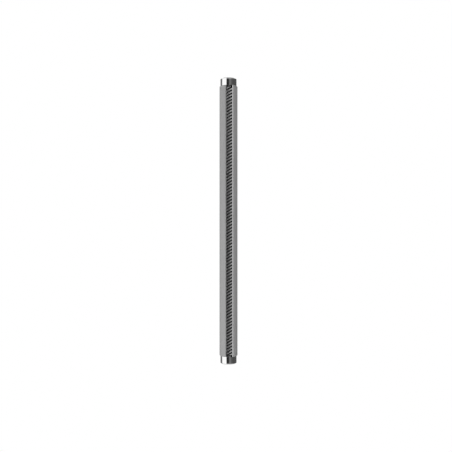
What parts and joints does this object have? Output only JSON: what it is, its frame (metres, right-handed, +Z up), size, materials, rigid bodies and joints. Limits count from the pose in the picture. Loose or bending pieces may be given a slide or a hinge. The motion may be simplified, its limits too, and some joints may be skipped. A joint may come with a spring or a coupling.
{
  "type": "ball screw and guide unit",
  "caption": "Slim ball-grooved multi-start screw turning on bearings inside a full-length slotted guide tube with a polished bearing cap at each end.",
  "frame": {"origin": "on the screw axis, in the plane where the guide tube's lower end meets the lower cap's head", "axes": "+Z along the screw axis from the lower cap to the upper cap; -Y out through the middle of the guide tube's slot; +X to the right when looking into the slot with +Z up"},
  "size_m": [0.0192, 0.0184, 0.305],
  "materials": {
    "tube_coating": "matte grey dry-film coating on a precision steel tube",
    "polished_cap_steel": "mirror polished stainless steel",
    "screw_steel": "rolled and polished stainless screw, bright on the lands, darker in the grooves",
    "bearing_steel": "ground bearing steel",
    "ball_steel": "lapped bearing balls",
    "shield_steel": "pressed sheet steel, fine concentric grain",
    "cage_polymer": "moulded polyamide",
    "spring_steel": "phosphated and oiled spring steel",
    "shim_steel": "ground shim",
    "black_oxide_steel": "black oxide"
  },
  "bodies": {
    "guide": {"guide_tube": "tube_coating", "lower_shim": "shim_steel", "upper_wave_spring": "spring_steel", "grub_screws": "black_oxide_steel", "lower_end_cap": "polished_cap_steel", "lower_bearing_outer_ring": "bearing_steel", "lower_bearing_outer_shield": "shield_steel", "lower_bearing_inner_shield": "shield_steel", "lower_retaining_ring": "spring_steel", "upper_end_cap": "polished_cap_steel", "upper_bearing_outer_ring": "bearing_steel", "upper_bearing_outer_shield": "shield_steel", "upper_bearing_inner_shield": "shield_steel", "upper_retaining_ring": "spring_steel"},
    "screw": {"screw_shaft": "screw_steel", "lower_bearing_inner_ring": "bearing_steel", "lower_shaft_ring": "spring_steel", "upper_bearing_inner_ring": "bearing_steel", "upper_shaft_ring": "spring_steel"},
    "lower_cage": {"lower_bearing_cage": "cage_polymer", "lower_bearing_balls": "ball_steel"},
    "upper_cage": {"upper_bearing_cage": "cage_polymer", "upper_bearing_balls": "ball_steel"}
  },
  "joints": [
    {"name": "screw_spin", "type": "hinge", "parent": "guide", "child": "screw", "pos_m": [0, 0, 0.1445], "axis": [0, 0, 1], "continuous": true},
    {"name": "lower_cage_spin", "type": "hinge", "parent": "guide", "child": "lower_cage", "pos_m": [0, 0, -0.0037], "axis": [0, 0, 1], "continuous": true},
    {"name": "upper_cage_spin", "type": "hinge", "parent": "guide", "child": "upper_cage", "pos_m": [0, 0, 0.2927], "axis": [0, 0, 1], "continuous": true}
  ],
  "couplings": [
    {"joint": "lower_cage_spin", "follows": "screw_spin", "ratio": 0.39474},
    {"joint": "upper_cage_spin", "follows": "screw_spin", "ratio": 0.39474}
  ]
}
